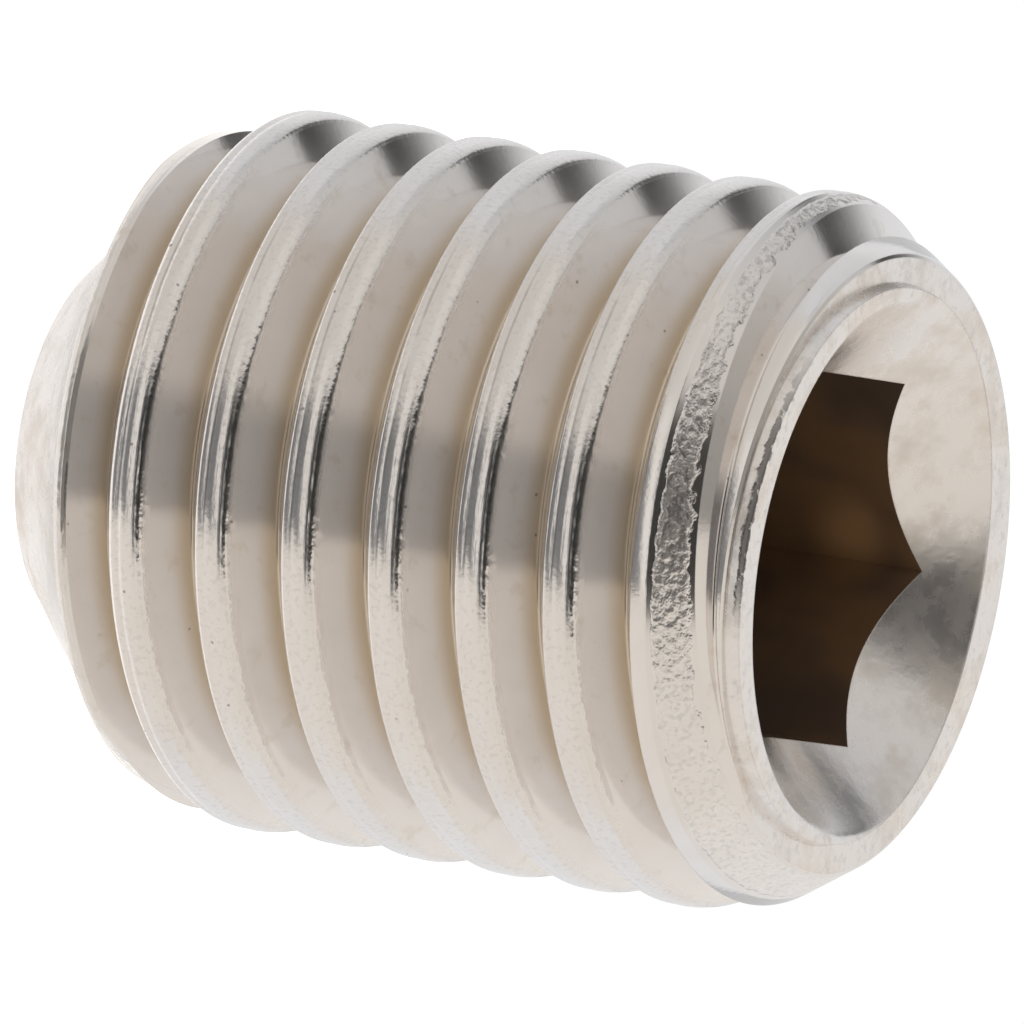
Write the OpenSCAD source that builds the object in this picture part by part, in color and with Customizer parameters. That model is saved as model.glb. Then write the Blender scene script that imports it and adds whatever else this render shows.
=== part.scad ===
// Grub set screw: a short headless screw, threaded from end to end, with a hexagon socket in one
// end and a cup point at the other. It stands on the rim of the cup, with +Z out of the socket.

/* [Thread] */
// Diameter over the crests
thread_d = 7.87; // [3:0.01:24]
// Distance from one crest to the next
pitch = 1.0583; // [0.35:0.0001:3]
// Length from the rim of the cup to the socket face
length = 9.525; // [3:0.005:60]
// Radial depth of the groove, as a share of the pitch
depth_share = 0.58; // [0.46:0.01:0.6]
// Width of the crest between its two shoulders, as a share of the pitch
crest_share = 0.245; // [0.1:0.005:0.3]
// Width and height of the rolled shoulder beside the crest, as a share of the pitch
shoulder_share = 0.065; // [0.02:0.005:0.08]
// Angle between the two flanks of the groove
flank_angle = 60; // [50:1:62]
// Turn of the thread about the axis, in degrees
thread_turn = 126.5; // [0:0.5:360]

/* [Socket end] */
// Distance across the flats of the hexagon
socket_af = 3.969; // [1.5:0.001:12]
// Depth of the hexagon below the socket face
socket_depth = 4.1; // [1:0.05:20]
// Turn of the hexagon about the axis, in degrees
socket_turn = 31; // [0:1:60]
// Radial width of the chamfer that cuts the thread's crests
chamfer_w = 0.57; // [0.2:0.005:1.5]
// Slope of the socket-end chamfer, measured from the axis
head_chamfer = 33; // [20:1:50]
// Radial width of the end face between the chamfer and the raised rim, at its middle
face_w = 0.345; // [0.05:0.005:1]
// Drop of the end face toward its outer edge
face_drop = 0.015; // [0.005:0.005:0.4]
// Height of the raised rim above the end face
rim_h = 0.145; // [0.02:0.005:0.3]
// Radial width of the raised rim's outer wall
rim_wall = 0.03; // [0.01:0.005:0.2]
// How far the raised rim lies off the axis, toward the front
rim_shift = 0.25; // [0:0.01:0.3]
// Radial width of the flat land on top of the raised rim, at its middle
land_w = 0.105; // [0.08:0.005:0.5]
// Included angle of the countersink
sink_angle = 90; // [80:1:120]

/* [Cup point] */
// Diameter of the cup's rim
cup_d = 4.27; // [1:0.01:16]
// Width of the flat edge of the cup's rim
cup_edge = 0.14; // [0.08:0.01:0.4]
// Included angle inside the cup
cup_angle = 118; // [100:1:130]
// Slope of the point chamfer, measured from the axis
point_chamfer = 45; // [35:1:60]
// How much lower the first turn's crest is than a full crest
first_drop = 0.14; // [0.05:0.005:0.4]
// Width of the first turn's narrow crest
first_crest_w = 0.12; // [0.05:0.005:0.4]

/* [Hidden] */
steps = 60;
r_crest = thread_d / 2;
depth = depth_share * pitch;
r_root = r_crest - depth;
shoulder = shoulder_share * pitch;
flank_tan = tan(flank_angle / 2);
// one pitch of the groove and crest, from the lower flank's foot up to the next one
flank_h = (depth - shoulder) * flank_tan;
crest_w = min(crest_share * pitch, 0.97 * pitch - 2 * flank_h - 2 * shoulder);
root_w = pitch - 2 * flank_h - 2 * shoulder - crest_w;
groove = [
    [r_root, 0],
    [r_crest - shoulder, flank_h],
    [r_crest, flank_h + shoulder],
    [r_crest, flank_h + shoulder + crest_w],
    [r_crest - shoulder, flank_h + 2 * shoulder + crest_w],
    [r_root, pitch - root_w]
];
// the upper edge of the crest is the thread's datum
datum = groove[4][1];
points = len(groove);
turns = ceil(length / pitch) + 4;
start_z = -2 * pitch - datum;

// radii across the socket end, from the crests inwards
face_out_r = r_crest - chamfer_w;
rim_r = face_out_r - face_w;
sink_r = rim_r - land_w;
face_z = length - rim_h;
face_out_z = face_z - face_drop;
over = 1;
hex_r = socket_af / sqrt(3);
sink_cone = sink_r / tan(sink_angle / 2);
cup_r = cup_d / 2;
cup_in_r = cup_r - cup_edge;
cup_h = cup_in_r / tan(cup_angle / 2);
tip_h = socket_af / 2 / tan(59);

// the first turn rises out of the point chamfer between these two winding angles, and sinks
// into the full thread over the last part
first_from = 300;
first_full = 480;
first_sink = 552;
first_to = 606;
first_step = 360 / steps;
first_r = r_crest - first_drop;
first_in = cup_r + 0.44 * pitch;
chamfer_r = r_crest - 0.225 * pitch;
chamfer_z = (chamfer_r - cup_r) / tan(point_chamfer);

// one point of the helical surface: m counts along the groove, i counts round the turns
function on_thread(i, m) = [
    groove[m][0] * cos(360 * i / steps),
    groove[m][0] * sin(360 * i / steps),
    groove[m][1] + start_z + pitch * i / steps
];

// index of a point; past the last groove point comes the first one of the next turn
function at(i, m) = m < points ? i * points + m : (i + steps) * points;

// A solid rod with the thread rolled into it, longer than the screw at both ends. The surface
// follows the helix, and each end is closed by a fan to the axis and the one flat step where
// the turn begins.
module threaded_rod() {
    last = turns * steps;
    count = (last + steps + 1) * points;
    low = [0, 0, start_z + pitch / 2];
    high = [0, 0, start_z + pitch / 2 + turns * pitch];
    surface = [
        for (i = [0 : last + steps])
            for (m = [0 : points - 1])
                on_thread(i, m)
    ];
    skin = [
        for (i = [0 : last - 1])
            for (m = [0 : points - 1])
                for (t = [0 : 1])
                    t == 0
                        ? [at(i, m), at(i + 1, m + 1), at(i + 1, m)]
                        : [at(i, m), at(i, m + 1), at(i + 1, m + 1)]
    ];
    low_fan = [for (i = [0 : steps - 1]) [count, at(i, 0), at(i + 1, 0)]];
    low_step = [for (m = [0 : points - 1]) [count, at(0, m + 1), at(0, m)]];
    high_fan = [for (i = [last : last + steps - 1]) [count + 1, at(i + 1, 0), at(i, 0)]];
    high_step = [for (m = [0 : points - 1]) [count + 1, at(last, m), at(last, m + 1)]];
    polyhedron(
        points = concat(surface, [low, high]),
        faces = concat(skin, low_fan, low_step, high_fan, high_step),
        convexity = 12
    );
}

// radius of the first turn's crest at a winding angle: it fades in and sinks at its end
function first_crest(w) =
    first_r
    - 0.84 * pitch * pow(max(0, first_full - w) / (first_full - first_from), 1.6)
    - 0.15 * pitch * max(0, w - first_sink) / (first_to - first_sink);

// height of the upper flank at a winding angle and a radius; the first turn's flank lies a hair
// above the full thread's flank, so that it covers it
function flank_z(w, r) =
    pitch * w / 360
    + (r_crest - shoulder - r) * flank_tan
    + 0.012 * pitch * (1 - 2 * max(0, w - first_sink) / (first_to - first_sink));

// cross-section of the first turn's ridge: lower foot, crest, upper foot
function first_section(w) =
    let (r = first_crest(w), low = r - 0.02 * pitch, z = flank_z(w, r) - first_crest_w)
    [
        [first_in, z - (low - first_in) * flank_tan],
        [low, z],
        [r, flank_z(w, r)],
        [first_in, flank_z(w, first_in)]
    ];

// The ridge of the first turn. The dies lift it out of the point chamfer, lower and narrower
// than a full crest, so it stands proud of the chamfer where the chamfer would cut it away.
module first_turn() {
    angles = [first_from : first_step : first_to];
    sections = [for (w = angles) first_section(w)];
    n = len(sections);
    surface = [
        for (i = [0 : n - 1])
            for (q = sections[i])
                let (a = first_from + first_step * i)
                [q[0] * cos(a), q[0] * sin(a), q[1]]
    ];
    sides = [
        for (i = [0 : n - 2])
            for (m = [0 : 3])
                for (t = [0 : 1])
                    let (k = (m + 1) % 4)
                    t == 0
                        ? [4 * i + m, 4 * (i + 1) + k, 4 * (i + 1) + m]
                        : [4 * i + m, 4 * i + k, 4 * (i + 1) + k]
    ];
    last = 4 * (n - 1);
    polyhedron(
        points = surface,
        faces = concat(sides, [[0, 2, 1], [0, 3, 2]],
                       [[last, last + 1, last + 2], [last, last + 2, last + 3]]),
        convexity = 6
    );
}

// The turned outline: cup rim, point chamfer that rounds off into the crests, socket-end
// chamfer and end face. It is wider than the thread between the two ends, so that it only
// shapes the ends.
module blank() {
    wide = r_crest + over;
    rotate_extrude($fn = 180)
        polygon([
            [0, cup_h],
            [cup_in_r, 0],
            [cup_r, 0],
            [chamfer_r, chamfer_z],
            [chamfer_r + 0.05 * pitch, chamfer_z + 0.15 * pitch],
            [r_crest - 0.03 * pitch, chamfer_z + 0.32 * pitch],
            [wide, chamfer_z + 0.32 * pitch + wide - r_crest],
            [wide, face_out_z - (wide - face_out_r) / tan(head_chamfer)],
            [face_out_r, face_out_z],
            [rim_r - rim_shift, face_z],
            [0, face_z]
        ]);
}

// The raised rim round the countersink. The punch has pushed it up on one side: it is widest at
// the front and dies away at the back.
module rim() {
    foot = 0.35 * rim_h;
    translate([0, -rim_shift, face_z - foot])
        cylinder(r1 = rim_r + 1.35 * rim_wall, r2 = rim_r, h = rim_h + foot, $fn = 180);
}

// The hexagon socket with its countersunk mouth and the drilled tip below the flats.
module socket() {
    rotate([0, 0, socket_turn])
        translate([0, 0, length - socket_depth])
            cylinder(r = hex_r, h = socket_depth + over, $fn = 6);
    translate([0, 0, length - sink_cone])
        cylinder(r1 = 0, r2 = sink_r + over * tan(sink_angle / 2), h = sink_cone + over, $fn = 180);
    translate([0, 0, length - socket_depth - tip_h])
        cylinder(r1 = 0, r2 = socket_af / 2, h = tip_h, $fn = 180);
}

// The whole screw, one solid.
module set_screw() {
    color([0.72, 0.71, 0.69])
        difference() {
            union() {
                intersection() {
                    rotate([0, 0, thread_turn])
                        threaded_rod();
                    blank();
                }
                rotate([0, 0, thread_turn])
                    first_turn();
                rim();
            }
            socket();
        }
}

set_screw();
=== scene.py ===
# %% [markdown]
# # A grub set screw in stainless steel
#
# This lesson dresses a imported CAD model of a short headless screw. The CAD model gives the
# true sizes, so every length here is in metres and in the same frame: the screw stands on the
# rim of its cup point, with +Z out of its hexagon socket. We model one fine piece with the
# shape of a rolled thread, give it a steel finish made of nodes, light it as a small studio
# would, and point a long lens at it.

# %% Load the frame
import math
import bmesh
import bpy
from mathutils import Matrix, Vector


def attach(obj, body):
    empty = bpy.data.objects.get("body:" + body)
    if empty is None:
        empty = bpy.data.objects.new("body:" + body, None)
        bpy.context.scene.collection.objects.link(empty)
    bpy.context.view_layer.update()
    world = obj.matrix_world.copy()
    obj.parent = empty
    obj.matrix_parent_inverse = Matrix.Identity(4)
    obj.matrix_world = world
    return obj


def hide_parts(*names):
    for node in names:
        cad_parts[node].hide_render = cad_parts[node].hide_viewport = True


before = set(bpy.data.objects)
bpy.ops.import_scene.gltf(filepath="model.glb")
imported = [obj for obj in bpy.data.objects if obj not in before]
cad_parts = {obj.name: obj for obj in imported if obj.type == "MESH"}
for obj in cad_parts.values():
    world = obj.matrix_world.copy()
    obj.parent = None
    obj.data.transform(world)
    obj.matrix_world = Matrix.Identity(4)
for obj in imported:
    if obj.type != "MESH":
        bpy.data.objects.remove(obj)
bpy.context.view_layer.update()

MM = 0.001

# %% [markdown]
# ## The sizes of the screw
#
# A thread is described by few numbers: the diameter over its crests, its pitch and the depth
# of its groove. We write them once, in the CAD model's own values, and build everything from
# them. Lengths in the thread's profile are given in pitches, because a rolling die scales with
# its pitch.

# %% Sizes
CREST_R = 3.935 * MM
PITCH = 1.0583 * MM
LENGTH = 9.525 * MM
THREAD_TURN = math.radians(126.5)
HEX_AF = 3.969 * MM
HEX_TURN = math.radians(31)
SOCKET_DEPTH = 4.1 * MM
FACE_OUT_R = CREST_R - 0.57 * MM
RIM_R = FACE_OUT_R - 0.345 * MM
SINK_R = RIM_R - 0.105 * MM
RIM_H = 0.145 * MM
RIM_SHIFT = 0.25 * MM
RIM_WALL = 0.03 * MM
FACE_DROP = 0.015 * MM
HEAD_SLOPE = math.radians(33)
SINK_HALF = math.radians(45)
FIRST_R = CREST_R - 0.14 * MM
CUP_R = 2.135 * MM
CUP_IN_R = CUP_R - 0.14 * MM
print("pitches along the screw:", round(LENGTH / PITCH, 2))


# %% [markdown]
# ## Small helpers
#
# Blender's operators act on whatever is selected, and the loaded CAD parts come in selected.
# So each step starts by deselecting everything, and then picks one object to work on.

# %% Helpers
def only(obj):
    """Selects obj alone and makes it the active object."""
    if bpy.context.object and bpy.context.object.mode != "OBJECT":
        bpy.ops.object.mode_set(mode="OBJECT")
    bpy.ops.object.select_all(action="DESELECT")
    obj.select_set(True)
    bpy.context.view_layer.objects.active = obj
    return obj


def named(name):
    """Names the object that an operator has just made."""
    obj = bpy.context.object
    obj.name = obj.data.name = name
    return obj


def apply_modifier(obj, kind, **settings):
    """Adds one modifier with these settings and applies it."""
    only(obj)
    mod = obj.modifiers.new(kind.title(), kind)
    for key, value in settings.items():
        setattr(mod, key, value)
    bpy.ops.object.modifier_apply(modifier=mod.name)
    return obj


def chain(name, points):
    """An open line of edges in the XZ plane, drawn by extruding one vertex from point to point."""
    bpy.ops.object.select_all(action="DESELECT")
    bpy.ops.mesh.primitive_plane_add(size=MM)
    obj = named(name)
    bpy.ops.object.mode_set(mode="EDIT")
    bpy.ops.mesh.select_all(action="SELECT")
    bpy.ops.mesh.merge(type="CENTER")
    here = Vector((0, 0, 0))
    for i, (r, z) in enumerate(points):
        step = Vector((r, 0, z)) - here
        if i == 0:
            bpy.ops.transform.translate(value=step)
        else:
            bpy.ops.mesh.extrude_vertices_move(TRANSFORM_OT_translate={"value": step})
        here += step
    bpy.ops.object.mode_set(mode="OBJECT")
    return obj


def cutter(name, sides, r1, r2, low, high, turn=0.0):
    """A cone or prism from height low to height high, used to cut."""
    bpy.ops.object.select_all(action="DESELECT")
    bpy.ops.mesh.primitive_cone_add(vertices=sides, radius1=r1, radius2=r2, depth=high - low,
                                    location=(0, 0, (low + high) / 2))
    obj = named(name)
    bpy.ops.object.mode_set(mode="EDIT")
    bpy.ops.mesh.select_all(action="SELECT")
    bpy.ops.transform.rotate(value=-turn, orient_axis="Z", center_override=(0, 0, 0))
    bpy.ops.object.mode_set(mode="OBJECT")
    bpy.ops.object.transform_apply(location=True, rotation=True, scale=True)
    return obj


def closed_mesh(obj, gap=1e-7):
    """Merges doubles, turns all faces outwards and reports open edges."""
    only(obj)
    bpy.ops.object.mode_set(mode="EDIT")
    bpy.ops.mesh.select_all(action="SELECT")
    bpy.ops.mesh.remove_doubles(threshold=gap)
    bpy.ops.mesh.normals_make_consistent(inside=False)
    bpy.ops.mesh.select_all(action="DESELECT")
    bpy.ops.mesh.select_non_manifold()
    bpy.ops.object.mode_set(mode="OBJECT")
    open_edges = sum(e.select for e in obj.data.edges)
    print(obj.name, "faces", len(obj.data.polygons), "open edges", open_edges)
    return obj


# %% [markdown]
# ## The rolled thread
#
# A rolled thread isn't cut. Two dies press the groove into the steel, the metal flows up
# between their teeth, and two lips meet on the crest, often with a fine seam between them. So
# the crest isn't a sharp flat: its upper shoulder is round, its top leans a little towards the
# socket, and a lower lip lies beside it. The root of the groove is round.
#
# The profile of one pitch is drawn from the foot of one groove to the next. The Screw modifier
# winds it up the axis, and neighbouring turns are then merged into one skin.

# %% Thread profile
# height in pitches above the crest's upper edge, and depth in pitches under the crest
CREST = [
    (-0.395, 0.0870), (-0.382, 0.0645), (-0.374, 0.0516), (-0.366, 0.0393), (-0.358, 0.0295),
    (-0.348, 0.0203), (-0.337, 0.0130), (-0.325, 0.0075), (-0.312, 0.0042), (-0.300, 0.0034),
    (-0.288, 0.0044), (-0.270, 0.0070), (-0.255, 0.0095), (-0.245, 0.0110), (-0.236, 0.0098),
    (-0.220, 0.0060), (-0.200, 0.0022), (-0.178, 0.0000), (-0.165, 0.0009), (-0.150, 0.0030),
    (-0.125, 0.0070), (-0.100, 0.0116), (-0.085, 0.0152), (-0.069, 0.0204), (-0.053, 0.0272),
    (-0.038, 0.0352), (-0.024, 0.0443), (-0.012, 0.0540), (-0.002, 0.0644), (0.006, 0.0754),
    (0.020, 0.0997),
]
ROOT = [(0.262, 0.5188), (0.288, 0.5643), (0.297, 0.5735), (0.305, 0.5775), (0.3125, 0.5783),
        (0.320, 0.5775), (0.328, 0.5735), (0.337, 0.5643), (0.363, 0.5188)]
TURN_START = -3
profile = [(CREST_R - d * PITCH, (TURN_START + t) * PITCH) for t, d in CREST + ROOT]
profile.append((profile[0][0], profile[0][1] + PITCH))
TURNS = 15
STEPS = 180

thread = chain("thread", profile)
apply_modifier(thread, "SCREW", axis="Z", screw_offset=PITCH, iterations=TURNS, steps=STEPS,
               render_steps=STEPS, use_smooth_shade=True)
closed_mesh(thread)

# %% [markdown]
# The wound skin is open at both ends. Two bisect cuts, square to the axis, trim it to a rod
# that is longer than the screw, and fill the two cut outlines with flat faces.

# %% Trim the rod
only(thread)
bpy.ops.object.mode_set(mode="EDIT")
for height, keep in ((-1.2 * PITCH, "above"), (LENGTH + 1.2 * PITCH, "below")):
    bpy.ops.mesh.select_all(action="SELECT")
    bpy.ops.mesh.bisect(plane_co=(0, 0, height), plane_no=(0, 0, 1), use_fill=True,
                        clear_inner=keep == "above", clear_outer=keep == "below",
                        threshold=1e-7)
bpy.ops.mesh.select_all(action="SELECT")
bpy.ops.transform.rotate(value=-THREAD_TURN, orient_axis="Z", center_override=(0, 0, 0))
bpy.ops.object.mode_set(mode="OBJECT")
closed_mesh(thread)

# %% [markdown]
# ## The turned blank
#
# Before it goes between the dies, the screw is a turned blank: a chamfered point with a cup in
# it, and a chamfered socket end. We draw half of that outline and spin it round the axis. Where
# the thread and the blank overlap is the screw, so the thread runs out through both chamfers
# just as a real one does. The corners are drawn a little round, as tumbling leaves them.

# %% Blank
wide = CREST_R + 1.0 * MM
cup_h = CUP_IN_R / math.tan(math.radians(59))
tan_head = math.tan(HEAD_SLOPE)
face_z = LENGTH - RIM_H
face_out_z = face_z - FACE_DROP
chamfer_r = CREST_R - 0.225 * PITCH
chamfer_z = chamfer_r - CUP_R
outline = [
    (0, cup_h),
    (CUP_IN_R - 0.02 * MM, 0.012 * MM),
    (CUP_IN_R + 0.01 * MM, 0),
    (CUP_R - 0.04 * MM, 0),
    (CUP_R - 0.012 * MM, 0.012 * MM),
    (CUP_R + 0.01 * MM, 0.04 * MM),
    (CUP_R + 0.05 * MM, 0.08 * MM),
    (chamfer_r - 0.05 * MM, chamfer_z - 0.05 * MM),
    (chamfer_r, chamfer_z + 0.01 * MM),
    (chamfer_r + 0.05 * PITCH, chamfer_z + 0.15 * PITCH),
    (CREST_R - 0.03 * PITCH, chamfer_z + 0.32 * PITCH),
    (wide, chamfer_z + 0.32 * PITCH + wide - CREST_R),
    (wide, face_out_z - (wide - FACE_OUT_R) / tan_head),
    (FACE_OUT_R + 0.05 * MM, face_out_z - 0.05 * MM / tan_head),
    (FACE_OUT_R + 0.015 * MM, face_out_z - 0.022 * MM),
    (FACE_OUT_R - 0.02 * MM, face_out_z - 0.001 * MM),
    (FACE_OUT_R - 0.06 * MM, face_out_z + 0.002 * MM),
    (RIM_R - RIM_SHIFT, face_z),
    (0, face_z),
]
blank = chain("blank", outline)
only(blank)
bpy.ops.object.mode_set(mode="EDIT")
bpy.ops.mesh.select_all(action="SELECT")
bpy.ops.mesh.spin(steps=180, angle=2 * math.pi, center=(0, 0, 0), axis=(0, 0, 1))
bpy.ops.object.mode_set(mode="OBJECT")
closed_mesh(blank)
apply_modifier(thread, "BOOLEAN", operation="INTERSECT", solver="EXACT", object=blank)
closed_mesh(thread)

# %% [markdown]
# ## The first turn
#
# Near the point the dies find too little metal for a full crest. They lift a ridge out of the
# chamfer that is lower and narrower than a full crest, and it stands proud where a chamfer cut
# afterwards would have taken it away. The ridge is wound like the thread, for a little less
# than a turn. A cylinder and a cone as steep as the chamfer, both set off from the axis, trim
# it, so that it rises slowly out of the chamfer and sinks into the full thread at its other end.

# %% First turn
def flank_t(r):
    """Height of the upper flank above the crest's upper edge, in pitches, at radius r."""
    return ((CREST_R - r) / PITCH - 0.068) * math.tan(math.radians(30)) + 0.012


FIRST_FROM, FIRST_TO = 330, 600
foot = CUP_R + 0.44 * PITCH
crest_w = 0.12 * MM / PITCH
top_t = flank_t(FIRST_R)
low_r = FIRST_R - 0.012 * PITCH
section = [
    (foot, top_t - crest_w - (low_r - foot) / PITCH * math.tan(math.radians(30))),
    (low_r - 0.03 * PITCH, top_t - crest_w - 0.022),
    (low_r - 0.006 * PITCH, top_t - crest_w - 0.002),
    (low_r + 0.006 * PITCH, top_t - crest_w + 0.016),
    (FIRST_R - 0.001 * PITCH, top_t - crest_w / 2 + 0.01),
    (FIRST_R - 0.006 * PITCH, top_t - 0.020),
    (FIRST_R - 0.016 * PITCH, top_t - 0.004),
    (FIRST_R - 0.032 * PITCH, flank_t(FIRST_R - 0.032 * PITCH)),
    (foot, flank_t(foot)),
]
ridge = chain("ridge", [(r, t * PITCH) for r, t in section])
only(ridge)
bpy.ops.object.mode_set(mode="EDIT")
bpy.ops.mesh.select_all(action="SELECT")
bpy.ops.mesh.edge_face_add()
bpy.ops.mesh.delete(type="ONLY_FACE")
bpy.ops.mesh.select_all(action="SELECT")
bpy.ops.transform.translate(value=(0, 0, FIRST_FROM / 360 * PITCH))
bpy.ops.transform.rotate(value=-math.radians(FIRST_FROM), orient_axis="Z",
                         center_override=(0, 0, 0))
bpy.ops.transform.rotate(value=-THREAD_TURN, orient_axis="Z", center_override=(0, 0, 0))
bpy.ops.object.mode_set(mode="OBJECT")
part_turn = (FIRST_TO - FIRST_FROM) / 360
apply_modifier(ridge, "SCREW", axis="Z", angle=2 * math.pi * part_turn,
               screw_offset=PITCH * part_turn, steps=(FIRST_TO - FIRST_FROM) // 2,
               render_steps=(FIRST_TO - FIRST_FROM) // 2, iterations=1)
bpy.ops.object.mode_set(mode="EDIT")
bpy.ops.mesh.select_all(action="SELECT")
bpy.ops.mesh.fill_holes(sides=0)
bpy.ops.object.mode_set(mode="OBJECT")
closed_mesh(ridge)
fades = []
for radius, top_radius, shift, way in ((3.634, 3.634, 0.225, -81.5), (2.33, 5.33, 0.30, -95.0)):
    fade_way = math.radians(way)
    fade = cutter("fade", 180, radius * MM, top_radius * MM, 0, 3 * MM)
    fade.location = (shift * MM * math.cos(fade_way), shift * MM * math.sin(fade_way), 0)
    apply_modifier(ridge, "BOOLEAN", operation="INTERSECT", solver="EXACT", object=fade)
    closed_mesh(ridge)
    fades.append(fade)
apply_modifier(thread, "BOOLEAN", operation="UNION", solver="EXACT", object=ridge)
closed_mesh(thread)

# %% [markdown]
# ## The raised rim and the socket
#
# The hexagon is punched cold, and the punch pushes up a rim round the mouth. It went in a
# little to one side, so the rim is broad at the front and dies away at the back: a low
# cylinder set off from the axis. The countersink, its mouth rounded by tumbling, is a spun
# outline like the blank. A hexagonal prism cuts the flats, and a shallow cone is the drill's
# tip under them. Where the hexagon meets the countersink, each flat ends in a curved edge.

# %% Socket
hex_r = HEX_AF / math.sqrt(3)
floor_z = LENGTH - SOCKET_DEPTH
punch = cutter("punch", 6, hex_r, hex_r, floor_z, LENGTH + 0.5 * MM, HEX_TURN + math.radians(90))
tip_h = HEX_AF / 2 / math.tan(math.radians(59))
drill = cutter("drill", 96, 0.0, HEX_AF / 2 + 0.01 * MM, floor_z - tip_h, floor_z + 0.01 * MM)
foot_h = 0.35 * RIM_H
rim = cutter("rim", 256, RIM_R + 1.35 * RIM_WALL, RIM_R, face_z - foot_h, LENGTH)
rim.location = (0, -RIM_SHIFT, 0)
sink = chain("sink", [
    (0, LENGTH - SINK_R),
    (SINK_R - 0.13 * MM, LENGTH - 0.13 * MM),
    (SINK_R - 0.0523 * MM, LENGTH - 0.0527 * MM),
    (SINK_R - 0.0250 * MM, LENGTH - 0.0303 * MM),
    (SINK_R + 0.0061 * MM, LENGTH - 0.0137 * MM),
    (SINK_R + 0.0399 * MM, LENGTH - 0.0035 * MM),
    (SINK_R + 0.0750 * MM, LENGTH),
    (SINK_R + 0.0760 * MM, LENGTH + 0.2 * MM),
    (0, LENGTH + 0.2 * MM),
])
only(sink)
bpy.ops.object.mode_set(mode="EDIT")
bpy.ops.mesh.select_all(action="SELECT")
bpy.ops.mesh.spin(steps=180, angle=2 * math.pi, center=(0, 0, 0), axis=(0, 0, 1))
bpy.ops.object.mode_set(mode="OBJECT")
closed_mesh(sink)
apply_modifier(thread, "BOOLEAN", operation="UNION", solver="EXACT", object=rim)
for tool in (sink, punch, drill):
    apply_modifier(thread, "BOOLEAN", operation="DIFFERENCE", solver="EXACT", object=tool)
screw = thread
screw.name = screw.data.name = "screw_body"
closed_mesh(screw)
for tool in (blank, ridge, *fades, rim, sink, punch, drill):
    bpy.data.objects.remove(tool, do_unlink=True)
only(screw)
bpy.ops.object.shade_smooth_by_angle(angle=math.radians(24))
triangles = sum(len(p.vertices) - 2 for p in screw.data.polygons)
print("screw triangles", triangles)

# %% [markdown]
# ## Where a point of the steel lies
#
# The finish changes with the place on the thread: the crest is rough and has a seam, the flank
# is burnished smooth, and the root is painted browner and darker as painted shade of the groove.
# A node group works out that place once, and the finishes share it. It unrolls the thread: how
# far a point is along the helix, how deep it lies under the crest, and how high it is above the
# crest's upper edge, in pitches.

# %% Node helpers
def link(tree, source, target):
    tree.links.new(source, target)


def put(tree, socket, value):
    """Feeds one input with a socket, or sets it to a plain value."""
    if isinstance(value, bpy.types.NodeSocket):
        link(tree, value, socket)
    else:
        socket.default_value = value


def math_node(tree, operation, *values):
    """A Math node on numbers or sockets; gives its output socket."""
    node = tree.nodes.new("ShaderNodeMath")
    node.operation = operation
    for i, value in enumerate(values):
        put(tree, node.inputs[i], value)
    return node.outputs[0]


def soft_step(tree, value, low, high, top=1.0):
    """0 below low and top above high, smooth between; low may be the larger one."""
    node = tree.nodes.new("ShaderNodeMapRange")
    node.interpolation_type = "SMOOTHSTEP"
    put(tree, node.inputs["Value"], value)
    node.inputs["From Min"].default_value = low
    node.inputs["From Max"].default_value = high
    node.inputs["To Max"].default_value = top
    return node.outputs["Result"]


def mix_colour(tree, factor, first, second, blend="MIX"):
    """A colour Mix node; each input is a number, a colour or a socket."""
    node = tree.nodes.new("ShaderNodeMix")
    node.data_type = "RGBA"
    node.blend_type = blend
    put(tree, node.inputs[0], factor)
    put(tree, node.inputs[6], first)
    put(tree, node.inputs[7], second)
    return node.outputs[2]


def noise(tree, where, scale, detail=2.0, rough=0.5):
    """Noise from 0 to 1 at a place given in millimetres; scale is in features to a millimetre."""
    node = tree.nodes.new("ShaderNodeTexNoise")
    put(tree, node.inputs["Vector"], where)
    node.inputs["Scale"].default_value = scale
    node.inputs["Detail"].default_value = detail
    node.inputs["Roughness"].default_value = rough
    return node.outputs["Fac"]


def stretched(tree, where, factors):
    """The place with each of its three parts scaled by its own factor."""
    node = tree.nodes.new("ShaderNodeVectorMath")
    node.operation = "MULTIPLY"
    put(tree, node.inputs[0], where)
    node.inputs[1].default_value = factors
    return node.outputs[0]


def start_group(name, inputs, outputs):
    """An empty shader group; gives the tree, its input node and its output node."""
    tree = bpy.data.node_groups.new(name, "ShaderNodeTree")
    for way, sockets in (("INPUT", inputs), ("OUTPUT", outputs)):
        for label, kind in sockets:
            tree.interface.new_socket(name=label, in_out=way, socket_type="NodeSocket" + kind)
    return tree, tree.nodes.new("NodeGroupInput"), tree.nodes.new("NodeGroupOutput")


def use_group(tree, group, **inputs):
    """One use of a group in a material, with its inputs linked or set."""
    node = tree.nodes.new("ShaderNodeGroup")
    node.node_tree = group
    for label, value in inputs.items():
        put(tree, node.inputs[label], value)
    return node.outputs


# %% The unrolled thread
place_group, gi, go = start_group(
    "place_on_screw", [("Point", "Vector")],
    [("Point mm", "Vector"), ("Unrolled", "Vector"), ("Depth", "Float"), ("Above edge", "Float"),
     ("Height", "Float"), ("Crest number", "Float")])
t = place_group
mm_point = stretched(t, gi.outputs["Point"], (1000, 1000, 1000))
split = t.nodes.new("ShaderNodeSeparateXYZ")
link(t, mm_point, split.inputs[0])
x, y, z = split.outputs
flat = t.nodes.new("ShaderNodeVectorMath")
flat.operation = "LENGTH"
link(t, stretched(t, mm_point, (1, 1, 0)), flat.inputs[0])
depth = math_node(t, "SUBTRACT", CREST_R / MM, flat.outputs["Value"])
# the turn is counted from the front, so that the place where it jumps is at the back
turn = math_node(t, "DIVIDE", math_node(t, "ARCTAN2", x, math_node(t, "MULTIPLY", y, -1.0)),
                 2 * math.pi)
rise = math_node(t, "SUBTRACT", math_node(t, "DIVIDE", z, PITCH / MM), turn)
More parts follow.
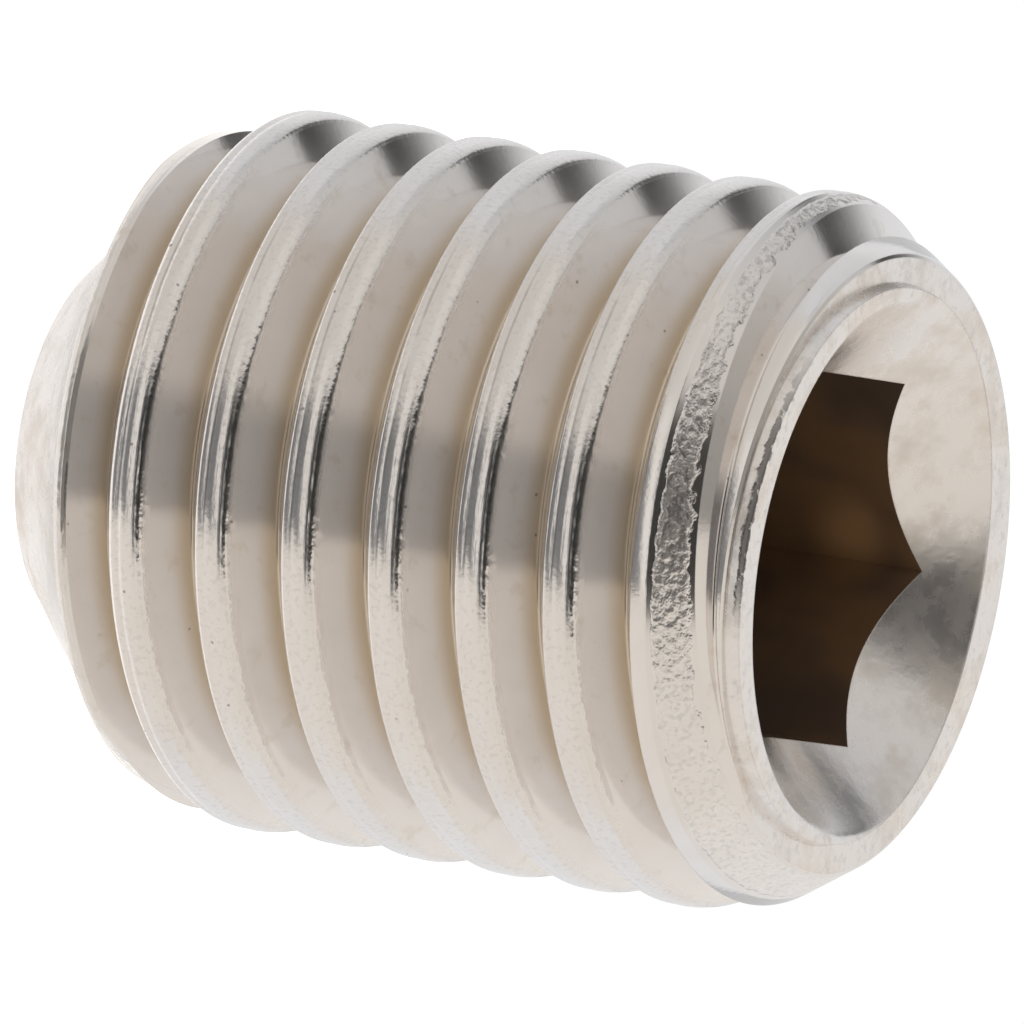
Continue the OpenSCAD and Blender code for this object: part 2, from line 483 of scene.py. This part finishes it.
# turns are split at the middle of the groove, 0.6875 of a pitch under the crest's edge
rise = math_node(t, "ADD", rise, 0.25 + THREAD_TURN / (2 * math.pi) + 0.6875)
above = math_node(t, "SUBTRACT", math_node(t, "FRACT", rise), 0.6875)
around = math_node(t, "MULTIPLY", math_node(t, "ADD", turn, math_node(t, "FLOOR", rise)),
                   2 * math.pi * CREST_R / MM)
unrolled = t.nodes.new("ShaderNodeCombineXYZ")
put(t, unrolled.inputs[0], around)
put(t, unrolled.inputs[1], depth)
put(t, unrolled.inputs[2], math_node(t, "MULTIPLY", above, PITCH / MM))
for label, socket in (("Point mm", mm_point), ("Unrolled", unrolled.outputs[0]),
                      ("Depth", depth), ("Above edge", above), ("Height", z),
                      ("Crest number", math_node(t, "FLOOR", rise))):
    link(t, socket, go.inputs[label])
print("group", place_group.name, "nodes", len(place_group.nodes))

# %% [markdown]
# ## Rolled steel
#
# The dies burnish the flanks, and the pickling bath that follows leaves them slightly frosted:
# a clear reflection with a matt veil over it. So the metal is mixed with a little matt on the
# flanks, and the crests stay bright. Three more things break the surface: a few pits no larger
# than a grain of dust, a darker brown colour in the root that is painted shade of the deep
# groove, and the crest. No die touches the crest, so it keeps fine streaks along the helix and
# a seam between its two lips, and its upper edge is ragged where the metal has flowed over.

# %% Rolled steel group
STEEL = (0.85, 0.81, 0.78, 1)
rolled_group, gi, go = start_group(
    "rolled_steel_finish",
    [("Point mm", "Vector"), ("Unrolled", "Vector"), ("Depth", "Float"), ("Above edge", "Float")],
    [("Color", "Color"), ("Roughness", "Float"), ("Metallic", "Float"), ("Height", "Float")])
t = rolled_group
point, along_thread, depth, above = gi.outputs[:4]
cloud = noise(t, point, 1.1, 3.0)
fine = noise(t, point, 16.0, 2.0)
streak = noise(t, stretched(t, along_thread, (1.6, 10, 22)), 1.0, 3.0, 0.6)
ragged = noise(t, stretched(t, along_thread, (7, 8, 9)), 1.0, 2.0, 0.5)
split = t.nodes.new("ShaderNodeSeparateXYZ")
link(t, point, split.inputs[0])
crest = soft_step(t, depth, 0.10, 0.05)
# the root's mask, short of the socket end: there the groove is painted browner and darker as painted
# shade
root = math_node(t, "MULTIPLY", soft_step(t, depth, 0.36, 0.60),
                 soft_step(t, split.outputs[2], 9.1, 8.5))
# the seam wanders a little about its place on the crest
wander = math_node(t, "MULTIPLY", math_node(t, "SUBTRACT", streak, 0.5), 0.03)
seam_at = math_node(t, "ABSOLUTE", math_node(t, "ADD", math_node(t, "ADD", above, 0.245), wander))
seam = math_node(t, "MULTIPLY", soft_step(t, seam_at, 0.020, 0.006), crest)
# it shows on one side only, and not everywhere
seam = math_node(t, "MULTIPLY", seam, soft_step(t, split.outputs[0], 1.1, 0.5))
seam = math_node(t, "MULTIPLY", seam, soft_step(t, split.outputs[0], -2.9, -2.1))
seam = math_node(t, "MULTIPLY", seam, soft_step(t, cloud, 0.38, 0.52))
# the upper edge: a ragged line where the crest's shoulder meets the flank
edge_at = math_node(t, "ABSOLUTE", math_node(t, "SUBTRACT", above, -0.005))
edge = math_node(t, "MULTIPLY", soft_step(t, edge_at, 0.06, 0.02),
                 soft_step(t, split.outputs[0], -3.5, -2.4))
cells = t.nodes.new("ShaderNodeTexVoronoi")
put(t, cells.inputs["Vector"], point)
cells.inputs["Scale"].default_value = 2.3
pit = soft_step(t, math_node(t, "ADD", cells.outputs["Distance"],
                             math_node(t, "MULTIPLY", fine, 0.10)), 0.105, 0.075)
colour = mix_colour(t, soft_step(t, cloud, 0.35, 0.7), STEEL, (0.83, 0.785, 0.75, 1))
# painted shade: the root is mixed towards a darker brown
colour = mix_colour(t, math_node(t, "MULTIPLY", root, 0.8), colour, (0.70, 0.60, 0.47, 1))
colour = mix_colour(t, math_node(t, "MULTIPLY", soft_step(t, fine, 0.5, 0.7, 0.35), crest),
                    colour, (0.66, 0.62, 0.60, 1))
# small brown smudges of the dried wash on the flanks
smudge = soft_step(t, noise(t, point, 3.2, 3.0, 0.65), 0.56, 0.72, 0.45)
colour = mix_colour(t, math_node(t, "SUBTRACT", smudge, crest), colour, (0.70, 0.625, 0.54, 1))
colour = mix_colour(t, math_node(t, "MULTIPLY", seam, 0.4), colour, (0.28, 0.26, 0.25, 1))
colour = mix_colour(t, math_node(t, "MULTIPLY", pit, 0.7), colour, (0.22, 0.19, 0.16, 1))
rough = math_node(t, "ADD", 0.11, soft_step(t, cloud, 0.3, 0.75, 0.03))
rough = math_node(t, "ADD", rough, math_node(t, "MULTIPLY", crest, 0.05))
# the upper side came out of the wash cleaner
film = math_node(t, "MULTIPLY", soft_step(t, depth, 0.05, 0.13),
                 soft_step(t, split.outputs[0], -3.7, -3.0, 0.30))
film = math_node(t, "MULTIPLY", film, soft_step(t, split.outputs[2], 9.0, 8.5))
metal = math_node(t, "SUBTRACT", 1.0, film)
# heights in millimetres; the crest is coarsest on the upper side
coarse = math_node(t, "MULTIPLY", crest, math_node(t, "ADD", 0.0012, soft_step(
    t, split.outputs[0], -0.5, -1.3, 0.0032)))
height = math_node(t, "MULTIPLY", fine, math_node(t, "ADD", 0.0004, coarse))
height = math_node(t, "ADD", height, math_node(t, "MULTIPLY", crest,
                                               math_node(t, "MULTIPLY", streak, 0.0022)))
height = math_node(t, "ADD", height, math_node(t, "MULTIPLY", edge,
                                               math_node(t, "MULTIPLY", ragged, 0.011)))
for label, socket in (("Color", colour), ("Roughness", rough), ("Metallic", metal),
                      ("Height", height)):
    link(t, socket, go.inputs[label])
print("group", rolled_group.name, "nodes", len(rolled_group.nodes))

# %% [markdown]
# ## Raw steel
#
# On the socket-end chamfer the last crest is broad, and the dies haven't closed it. Between its
# two lips the skin of the blank is left: scaly, a hair lower than the lips, with flakes that
# catch the light. The lips and the rest of the chamfer are smooth.

# %% Raw steel group
raw_group, gi, go = start_group(
    "raw_steel_finish",
    [("Point mm", "Vector"), ("Unrolled", "Vector"), ("Depth", "Float"), ("Above edge", "Float"),
     ("Crest number", "Float")],
    [("Color", "Color"), ("Roughness", "Float"), ("Metallic", "Float"), ("Height", "Float")])
t = raw_group
point, along_thread, depth, above, number = gi.outputs[:5]
cloud = noise(t, point, 2.2, 3.0)
flake = noise(t, stretched(t, along_thread, (9, 11, 13)), 1.0, 2.0, 0.5)
grit = noise(t, point, 18.0, 2.0)
ragged = noise(t, stretched(t, along_thread, (5, 6, 7)), 1.0, 3.0, 0.6)
# how far a point is from the two flanks that bound the crest, in pitches
run = math_node(t, "MULTIPLY", math_node(t, "SUBTRACT", math_node(t, "DIVIDE", depth, PITCH / MM),
                                         0.065), math.tan(math.radians(30)))
from_low = math_node(t, "ADD", math_node(t, "ADD", above, 0.375), run)
from_top = math_node(t, "SUBTRACT", run, above)
last_crest = math_node(t, "COMPARE", number, 9.0, 0.5)
shake = math_node(t, "MULTIPLY", math_node(t, "SUBTRACT", ragged, 0.5), 0.11)
# the lower lip ends at a ragged line; so do the scales on both sides
lip = soft_step(t, math_node(t, "ADD", from_low, math_node(t, "MULTIPLY", shake, 0.4)),
                0.185, 0.165)
inside = math_node(t, "MULTIPLY", soft_step(t, math_node(t, "ADD", from_low, shake), 0.235, 0.27),
                   soft_step(t, math_node(t, "ADD", from_top, shake), 0.025, 0.055))
skin = math_node(t, "MULTIPLY", inside, last_crest)
split = t.nodes.new("ShaderNodeSeparateXYZ")
link(t, point, split.inputs[0])
# painted shade: the dark cracks between the scales are partly the scale's own dark joints and partly
# painted shade; this weight by place makes them strongest a little to the -X side of the axis, weaker
# farther out on that side and absent on the +X side
shade_weight = math_node(t, "MULTIPLY", soft_step(t, split.outputs[0], 0.9, -0.2),
                  math_node(t, "SUBTRACT", 1.3, soft_step(t, split.outputs[0], -0.6, -1.8, 0.6)))
colour = mix_colour(t, soft_step(t, cloud, 0.4, 0.75, 0.5), STEEL, (0.80, 0.755, 0.725, 1))
# the cracks are painted dark: partly dark joints, partly painted shade
crack_and_shade = math_node(t, "MULTIPLY", soft_step(t, flake, 0.50, 0.38), skin)
colour = mix_colour(t, math_node(t, "MULTIPLY", math_node(t, "MULTIPLY", crack_and_shade, shade_weight), 0.48),
                    colour, (0.26, 0.245, 0.24, 1))
colour = mix_colour(t, math_node(t, "MULTIPLY", soft_step(t, grit, 0.5, 0.65, 0.5), skin),
                    colour, (0.66, 0.64, 0.63, 1))
rough = math_node(t, "ADD", 0.14, math_node(t, "MULTIPLY", skin, 0.13))
metal = math_node(t, "SUBTRACT", 1.0, math_node(t, "MULTIPLY", skin, 0.16))
# the lip rolls over: it rises from its lower edge, which turns it back towards the front
way = math_node(t, "MULTIPLY", from_low, 0.918)
limit = math_node(t, "SUBTRACT", 0.26, math_node(t, "MULTIPLY", last_crest, 0.105))
on_lip = math_node(t, "MINIMUM", way, limit)
height = math_node(t, "MULTIPLY", on_lip, math_node(t, "SUBTRACT", 0.55, math_node(
    t, "MULTIPLY", on_lip, 0.63)))
past = math_node(t, "MAXIMUM", math_node(t, "SUBTRACT", way, limit), 0.0)
height = math_node(t, "SUBTRACT", height, math_node(t, "MULTIPLY", past, 0.12))
height = math_node(t, "ADD", height, math_node(t, "MULTIPLY", lip, math_node(
    t, "MULTIPLY", grit, 0.0015)))
height = math_node(t, "ADD", height, math_node(t, "MULTIPLY", skin, math_node(
    t, "MULTIPLY", flake, 0.026)))
height = math_node(t, "ADD", height, math_node(t, "MULTIPLY", skin, math_node(
    t, "MULTIPLY", grit, 0.0030)))
for label, socket in (("Color", colour), ("Roughness", rough), ("Metallic", metal),
                      ("Height", height)):
    link(t, socket, go.inputs[label])
print("group", raw_group.name, "nodes", len(raw_group.nodes))

# %% [markdown]
# ## Turned and punched steel
#
# The countersink and the rim are turned and then tumbled. The countersink keeps faint rings, a
# slightly hammered skin and pale brown stains. The hexagon is punched and never sees the
# tumbling stone; its flats are painted dark brown, which is painted shade of the deep socket.

# %% Turned steel group
turned_group, gi, go = start_group(
    "turned_steel_finish", [("Point mm", "Vector"), ("Depth", "Float")],
    [("Color", "Color"), ("Roughness", "Float"), ("Metallic", "Float"), ("Height", "Float")])
t = turned_group
point, depth = gi.outputs[:2]
stain = noise(t, point, 1.3, 4.0, 0.6)
cloud = noise(t, point, 2.6, 3.0, 0.6)
grain = noise(t, point, 9.0, 3.0, 0.6)
ring_place = t.nodes.new("ShaderNodeCombineXYZ")
put(t, ring_place.inputs[0], math_node(t, "MULTIPLY", depth, 22.0))
rings = noise(t, ring_place.outputs[0], 1.0, 2.0)
# the raised rim's wall is torn, most of all at the front
moved = t.nodes.new("ShaderNodeVectorMath")
moved.operation = "ADD"
link(t, point, moved.inputs[0])
moved.inputs[1].default_value = (0, RIM_SHIFT / MM, 0)
off_axis = t.nodes.new("ShaderNodeVectorMath")
off_axis.operation = "LENGTH"
link(t, stretched(t, moved.outputs[0], (1, 1, 0)), off_axis.inputs[0])
split = t.nodes.new("ShaderNodeSeparateXYZ")
link(t, point, split.inputs[0])
from_wall = math_node(t, "ABSOLUTE", math_node(t, "ADD", math_node(
    t, "SUBTRACT", off_axis.outputs["Value"], RIM_R / MM + 0.02),
    math_node(t, "MULTIPLY", math_node(t, "SUBTRACT", grain, 0.5), 0.16)))
# only the wall's upper part, and less of it lower down on the screw's side
torn = math_node(t, "MULTIPLY", soft_step(t, from_wall, 0.045, 0.025),
                 soft_step(t, split.outputs[1], 0.3, -1.2))
part = math_node(t, "ADD", split.outputs[2], math_node(t, "MULTIPLY", math_node(
    t, "SUBTRACT", grain, 0.5), 0.12))
torn = math_node(t, "MULTIPLY", torn, soft_step(t, part, 9.445, 9.475))
torn = math_node(t, "MULTIPLY", torn, math_node(t, "MULTIPLY", soft_step(
    t, split.outputs[0], 0.9, 0.2), soft_step(t, split.outputs[0], -2.4, -1.0)))
outer = math_node(t, "MULTIPLY", soft_step(t, depth, 1.06, 1.02),
                  soft_step(t, split.outputs[2], 4.0, 5.0))
colour = mix_colour(t, soft_step(t, stain, 0.45, 0.66, 0.8), STEEL, (0.80, 0.73, 0.66, 1))
colour = mix_colour(t, soft_step(t, cloud, 0.45, 0.80, 0.38), colour, (0.60, 0.555, 0.52, 1))
colour = mix_colour(t, math_node(t, "MULTIPLY", outer, soft_step(t, grain, 0.5, 0.72, 0.35)),
                    colour, (0.50, 0.475, 0.46, 1))
colour = mix_colour(t, math_node(t, "MULTIPLY", torn, 0.85), colour, (0.14, 0.13, 0.13, 1))
rough = math_node(t, "ADD", 0.20, soft_step(t, cloud, 0.3, 0.7, 0.09))
rough = math_node(t, "ADD", rough, soft_step(t, depth, 1.0, 1.1, 0.03))
metal = math_node(t, "SUBTRACT", 0.97, soft_step(t, stain, 0.4, 0.7, 0.12))
height = math_node(t, "MULTIPLY", cloud, 0.005)
height = math_node(t, "ADD", height, math_node(t, "MULTIPLY", rings, 0.0005))
height = math_node(t, "ADD", height, math_node(t, "MULTIPLY", grain, math_node(
    t, "ADD", 0.0010, math_node(t, "MULTIPLY", outer, 0.0020))))
height = math_node(t, "SUBTRACT", height, math_node(t, "MULTIPLY", torn, 0.010))
for label, socket in (("Color", colour), ("Roughness", rough), ("Metallic", metal),
                      ("Height", height)):
    link(t, socket, go.inputs[label])

punched_group, gi, go = start_group(
    "punched_steel_finish", [("Point mm", "Vector")],
    [("Color", "Color"), ("Roughness", "Float"), ("Metallic", "Float"), ("Height", "Float")])
t = punched_group
point = gi.outputs[0]
# noise over the socket's flats, which varies their painted shade
film = noise(t, stretched(t, point, (1, 1, 0.6)), 0.75, 2.0)
drag = noise(t, stretched(t, point, (12, 12, 1.0)), 1.0, 2.0)
# painted light: on the far flat a patch is painted a lighter brown
moved = t.nodes.new("ShaderNodeVectorMath")
moved.operation = "ADD"
link(t, point, moved.inputs[0])
moved.inputs[1].default_value = (0.3, -2.0, -8.0)
patch = t.nodes.new("ShaderNodeVectorMath")
patch.operation = "LENGTH"
link(t, stretched(t, moved.outputs[0], (1.3, 0.8, 1.3)), patch.inputs[0])
far_flat_painted_light = soft_step(t, math_node(t, "ADD", patch.outputs["Value"],
                              math_node(t, "MULTIPLY", film, 0.8)), 1.3, 0.5)
# painted shade: the flats are painted dark brown, from nearly black to a deep brown by the noise
colour = mix_colour(t, soft_step(t, film, 0.40, 0.64), (0.075, 0.048, 0.032, 1),
                    (0.19, 0.108, 0.052, 1))
# painted light: the lighter brown patch on the far flat
colour = mix_colour(t, far_flat_painted_light, colour, (0.34, 0.19, 0.085, 1))
rough = math_node(t, "ADD", 0.38, soft_step(t, drag, 0.3, 0.7, 0.08))
metal = soft_step(t, film, 0.3, 0.7, 0.35)
height = math_node(t, "MULTIPLY", drag, 0.0012)
for label, socket in (("Color", colour), ("Roughness", rough), ("Metallic", metal),
                      ("Height", height)):
    link(t, socket, go.inputs[label])
print("groups", [g.name for g in bpy.data.node_groups])

# %% [markdown]
# ## Four finishes on one piece
#
# Each finish is a material of its own: metallic, with its colour, roughness and height from its
# group. A Bump node turns the height into small slopes, and a Bevel node in front of it rounds
# the sharp edges by a hair, as tumbling does, without more faces. The faces are then picked in
# code by where they lie.

# %% Steel materials
def steel_material(name, group, rounding):
    """A metallic material fed by the place group and one finish group."""
    material = bpy.data.materials.new(name)
    material.use_nodes = True
    tree = material.node_tree
    shader = tree.nodes["Principled BSDF"]
    where = use_group(tree, place_group,
                      Point=tree.nodes.new("ShaderNodeTexCoord").outputs["Object"])
    wanted = {n.name: where[n.name] for n in group.interface.items_tree
              if n.in_out == "INPUT" and n.name in where}
    finish = use_group(tree, group, **wanted)
    link(tree, finish["Color"], shader.inputs["Base Color"])
    link(tree, finish["Roughness"], shader.inputs["Roughness"])
    link(tree, finish["Metallic"], shader.inputs["Metallic"])
    edge = tree.nodes.new("ShaderNodeBevel")
    edge.samples = 3
    edge.inputs["Radius"].default_value = rounding
    bump = tree.nodes.new("ShaderNodeBump")
    bump.inputs["Distance"].default_value = MM
    link(tree, finish["Height"], bump.inputs["Height"])
    link(tree, edge.outputs[0], bump.inputs["Normal"])
    link(tree, bump.outputs[0], shader.inputs["Normal"])
    return material


finishes = [
    steel_material("rolled_steel", rolled_group, 0.010 * MM),
    steel_material("raw_steel", raw_group, 0.012 * MM),
    steel_material("point_steel", turned_group, 0.020 * MM),
    steel_material("turned_steel", turned_group, 0.030 * MM),
    steel_material("punched_steel", punched_group, 0.020 * MM),
]
screw.data.materials.clear()
for material in finishes:
    screw.data.materials.append(material)


def finish_of(face):
    """Which finish a face has, from its place and slope."""
    r = math.hypot(face.center.x, face.center.y)
    z = face.center.z
    outward = (face.normal.x * face.center.x + face.normal.y * face.center.y) / max(r, 1e-9)
    if z < 1.6 * MM and abs(r - CUP_R - z) < 0.08 * MM and outward > 0.5 or z < 1.3 * MM and r < CUP_R:
        return 2
    if z > face_out_z - 0.01 * MM or r < SINK_R and outward < -0.4 and face.normal.z > 0.5:
        return 3
    if r < hex_r + 0.02 * MM:
        return 4
    cone_r = FACE_OUT_R + (face_out_z - z) * tan_head
    if z > LENGTH - 1.4 * MM and abs(r - cone_r) < 0.02 * MM and 0.6 < outward < 0.95:
        return 1
    return 0


for face in screw.data.polygons:
    face.material_index = finish_of(face)
count = [0] * len(finishes)
for face in screw.data.polygons:
    count[face.material_index] += 1
print("faces per finish", {m.name: c for m, c in zip(finishes, count)})
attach(screw, "root")
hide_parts("set_screw")

# %% [markdown]
# ## The camera
#
# A small screw is photographed with a long lens from a little distance. The screw stands, and
# the camera looks down on it by 27 degrees and is rolled nearly a quarter turn, so that the
# axis lies across the picture, with the socket at the right and nearer.

# %% Camera
SIGHT = math.radians(27.18)
ROLL = math.radians(9.38)
along = Vector((0, math.cos(SIGHT), -math.sin(SIGHT)))
axis_side = Vector((0, math.sin(SIGHT), math.cos(SIGHT)))
top_side = Vector((-1, 0, 0))
right = math.cos(ROLL) * axis_side + math.sin(ROLL) * top_side
up = math.cos(ROLL) * top_side - math.sin(ROLL) * axis_side
PIXELS = 1024
FOCAL_PX = 17890
DISTANCE = FOCAL_PX / 362.95 * CREST_R
aim = Vector((0, 0, 5.012 * MM))
eye = aim - DISTANCE * along + (507.3 - PIXELS / 2) / FOCAL_PX * DISTANCE * up
cam_data = bpy.data.cameras.new("long_lens")
cam_data.sensor_width = 36
cam_data.lens = FOCAL_PX / PIXELS * 36
cam_data.clip_start = 0.01
camera = bpy.data.objects.new("camera", cam_data)
bpy.context.scene.collection.objects.link(camera)
turned = Matrix((right, up, -along)).transposed().to_4x4()
camera.matrix_world = Matrix.Translation(eye) @ turned
bpy.context.scene.camera = camera
print("camera at", [round(v, 4) for v in eye], "lens", round(cam_data.lens, 1))

# %% [markdown]
# ## The studio
#
# Polished steel has hardly any colour of its own: it shows the room. So the light here is a
# small map of a studio, seen from the screw. It is drawn by direction: the compass angle round
# the screw, with 0 towards the camera and 90 to its right, and the height above the middle of
# the picture. The camera stands in a dark part of the room, with a narrow lamp at its left and
# a warm wall at the right. White paper is behind and below, and soft light comes from above.
# Four rings of colour stops hold the brightness low down, at eye level, at the side wall's
# height and high up, and soft steps join them. A dark stand behind at the right gives the
# dark fans on the thread's upper end.

# %% Studio map
# compass angle in degrees, then brightness and warmth (0 neutral, 1 warm)
EYE_RING = [
    (-180, 0.86, -0.3), (-138, 0.86, -0.5), (-134, 0.52, 0.0), (-129, 0.22, 0.0),
    (-112, 0.165, 0.0), (-84, 0.15, 0.0), (-80, 0.20, -0.2), (-40, 0.215, -0.2),
    (-36, 0.87, 0.4), (-29, 0.87, 0.4), (-26, 0.30, 0.0), (-18, 0.08, 0.0), (-8, 0.03, 0.0),
    (14, 0.03, 0.3), (34, 0.06, 0.5), (42, 0.08, 0.5), (50, 0.13, 0.5), (58, 0.22, 0.5),
    (66, 0.29, 0.5), (80, 0.42, 0.5), (104, 0.52, 0.4), (116, 0.69, 0.0), (122, 0.80, -0.3),
    (180, 0.84, -0.3),
]
LOW_RING = [
    (-180, 0.85, -0.3), (-140, 0.83, 0.0), (-120, 0.80, 0.4), (-60, 0.79, 0.6), (-20, 0.75, 0.7),
    (20, 0.74, 0.7), (60, 0.75, 0.7), (97, 0.78, 0.6), (120, 0.81, 0.2), (180, 0.85, 0.0),
]
SIDE_RING = [
    (-180, 0.74, -0.3), (-150, 0.65, -0.2), (-110, 0.62, 0.5), (-42, 0.62, 0.5), (-37, 0.80, 0.4),
    (-29, 0.80, 0.4), (-24, 0.64, 0.4), (0, 0.70, 0.4), (50, 0.66, 0.4), (119, 0.59, -0.2),
    (121, 0.04, -0.3), (127, 0.07, -0.3), (133, 0.15, -0.3), (139, 0.40, -0.3),
    (146, 0.75, -0.3), (180, 0.86, -0.3),
]
HIGH_RING = [
    (-180, 0.74, -0.3), (-150, 0.68, -0.2), (-110, 0.64, 0.5), (-40, 0.64, 0.5), (0, 0.74, 0.4),
    (50, 0.68, 0.4), (90, 0.61, 0.0), (120, 0.56, -0.3), (150, 0.69, -0.4), (180, 0.74, -0.3),
]
world = bpy.data.worlds.new("studio")
bpy.context.scene.world = world
world.use_nodes = True
# the room is so even that a ray in any direction finds its light
world.cycles.sampling_method = "NONE"
wt = world.node_tree
wt.nodes.clear()


def ring(angle, stops):
    """The colours of one ring of the map, by compass angle."""
    node = wt.nodes.new("ShaderNodeValToRGB")
    marks = node.color_ramp.elements
    while len(marks) < len(stops):
        marks.new(0.5)
    for mark, (degrees, level, warmth) in zip(marks, stops):
        mark.position = (degrees + 180) / 360
    for mark, (degrees, level, warmth) in zip(marks, stops):
        mark.color = (level * (1 + 0.07 * warmth), level, level * (1 - 0.10 * warmth), 1)
    share = math_node(wt, "DIVIDE", math_node(wt, "ADD", angle, 180.0), 360.0)
    link(wt, share, node.inputs[0])
    return node.outputs[0]


def part_along(direction, way):
    """How far a direction points along one fixed way."""
    node = wt.nodes.new("ShaderNodeVectorMath")
    node.operation = "DOT_PRODUCT"
    link(wt, direction, node.inputs[0])
    node.inputs[1].default_value = way
    return node.outputs["Value"]


sky = wt.nodes.new("ShaderNodeTexCoord").outputs["Generated"]
to_right, to_up, to_camera = (part_along(sky, w) for w in (right, up, -along))
compass = math_node(wt, "MULTIPLY", math_node(wt, "ARCTAN2", to_right, to_camera), 180 / math.pi)
height = math_node(wt, "MULTIPLY", math_node(wt, "ARCSINE", to_up), 180 / math.pi)
# the paper's edge stands at -15 degrees, higher at the left and the right; in front of it stands
# the camera's dark foot
paper_edge = math_node(wt, "SUBTRACT", height, soft_step(wt, compass, -35.0, -100.0, 13.0))
paper_edge = math_node(wt, "SUBTRACT", paper_edge, soft_step(wt, compass, 58.0, 66.0, 12.0))
foot_mark = math_node(wt, "MULTIPLY", soft_step(wt, compass, -33.0, -27.0, 12.0),
                      soft_step(wt, compass, 32.0, 22.0))
paper_edge = math_node(wt, "ADD", paper_edge, foot_mark)
room = mix_colour(wt, soft_step(wt, paper_edge, -13.8, -16.2), ring(compass, EYE_RING),
                  ring(compass, LOW_RING))
# the dark part of the room ends at about 27 degrees, and lower down at the right
wall_edge = math_node(wt, "ADD", height, soft_step(wt, compass, 98.0, 114.0, 11.0))
room = mix_colour(wt, soft_step(wt, wall_edge, 20.0, 33.0), room, ring(compass, SIDE_RING))
room = mix_colour(wt, soft_step(wt, height, 36.0, 48.0), room, ring(compass, HIGH_RING))
light_path = wt.nodes.new("ShaderNodeLightPath")
room = mix_colour(wt, light_path.outputs["Is Camera Ray"], room, (1, 1, 1, 1))
background = wt.nodes.new("ShaderNodeBackground")
link(wt, room, background.inputs["Color"])
# the tent's soft fill, which only matt surfaces show
link(wt, math_node(wt, "ADD", math_node(wt, "MULTIPLY", light_path.outputs["Is Diffuse Ray"], 0.9),
                   1.0), background.inputs["Strength"])
link(wt, background.outputs[0], wt.nodes.new("ShaderNodeOutputWorld").inputs["Surface"])
print("studio stops:", [len(r) for r in (EYE_RING, LOW_RING, SIDE_RING, HIGH_RING)])

# %% [markdown]
# ## The floor
#
# The screw stands on white paper. Seen by the camera the paper is white and still takes the
# soft shadow round the foot of the screw. The steel sees white paper close to its foot, and
# farther out it sees the room, as it would past the edge of a small sheet.

# %% Floor
bpy.ops.object.select_all(action="DESELECT")
bpy.ops.mesh.primitive_circle_add(vertices=96, radius=0.6, fill_type="NGON", location=(0, 0, 0))
floor = named("floor")
paper = bpy.data.materials.new("white_paper")
paper.use_nodes = True
pt = paper.node_tree
pt.nodes.clear()
path = pt.nodes.new("ShaderNodeLightPath")
diffuse = pt.nodes.new("ShaderNodeBsdfDiffuse")
diffuse.inputs["Color"].default_value = (0.5, 0.5, 0.5, 1)
glow = pt.nodes.new("ShaderNodeEmission")
link(pt, math_node(pt, "ADD", math_node(pt, "MULTIPLY", path.outputs["Is Camera Ray"], 0.92),
                   math_node(pt, "MULTIPLY", path.outputs["Is Glossy Ray"], 0.72)),
     glow.inputs["Strength"])
both = pt.nodes.new("ShaderNodeAddShader")
link(pt, diffuse.outputs[0], both.inputs[0])
link(pt, glow.outputs[0], both.inputs[1])
spot = pt.nodes.new("ShaderNodeTexCoord").outputs["Object"]
reach = pt.nodes.new("ShaderNodeVectorMath")
reach.operation = "LENGTH"
link(pt, spot, reach.inputs[0])
clear = math_node(pt, "MULTIPLY", path.outputs["Is Glossy Ray"],
                  soft_step(pt, reach.outputs["Value"], 4.6 * MM, 6.5 * MM))
# past the shadow the camera sees plain white
white = pt.nodes.new("ShaderNodeEmission")
white.inputs["Strength"].default_value = 1.02
far = math_node(pt, "MULTIPLY", path.outputs["Is Camera Ray"],
                soft_step(pt, reach.outputs["Value"], 9.0 * MM, 12.0 * MM))
sheet = pt.nodes.new("ShaderNodeMixShader")
link(pt, far, sheet.inputs[0])
link(pt, both.outputs[0], sheet.inputs[1])
link(pt, white.outputs[0], sheet.inputs[2])
see_past = pt.nodes.new("ShaderNodeMixShader")
link(pt, clear, see_past.inputs[0])
link(pt, sheet.outputs[0], see_past.inputs[1])
link(pt, pt.nodes.new("ShaderNodeBsdfTransparent").outputs[0], see_past.inputs[2])
link(pt, see_past.outputs[0], pt.nodes.new("ShaderNodeOutputMaterial").inputs["Surface"])
floor.data.materials.append(paper)
print("floor faces", len(floor.data.polygons))

# %% Finish
bpy.context.scene.view_settings.view_transform = "Standard"
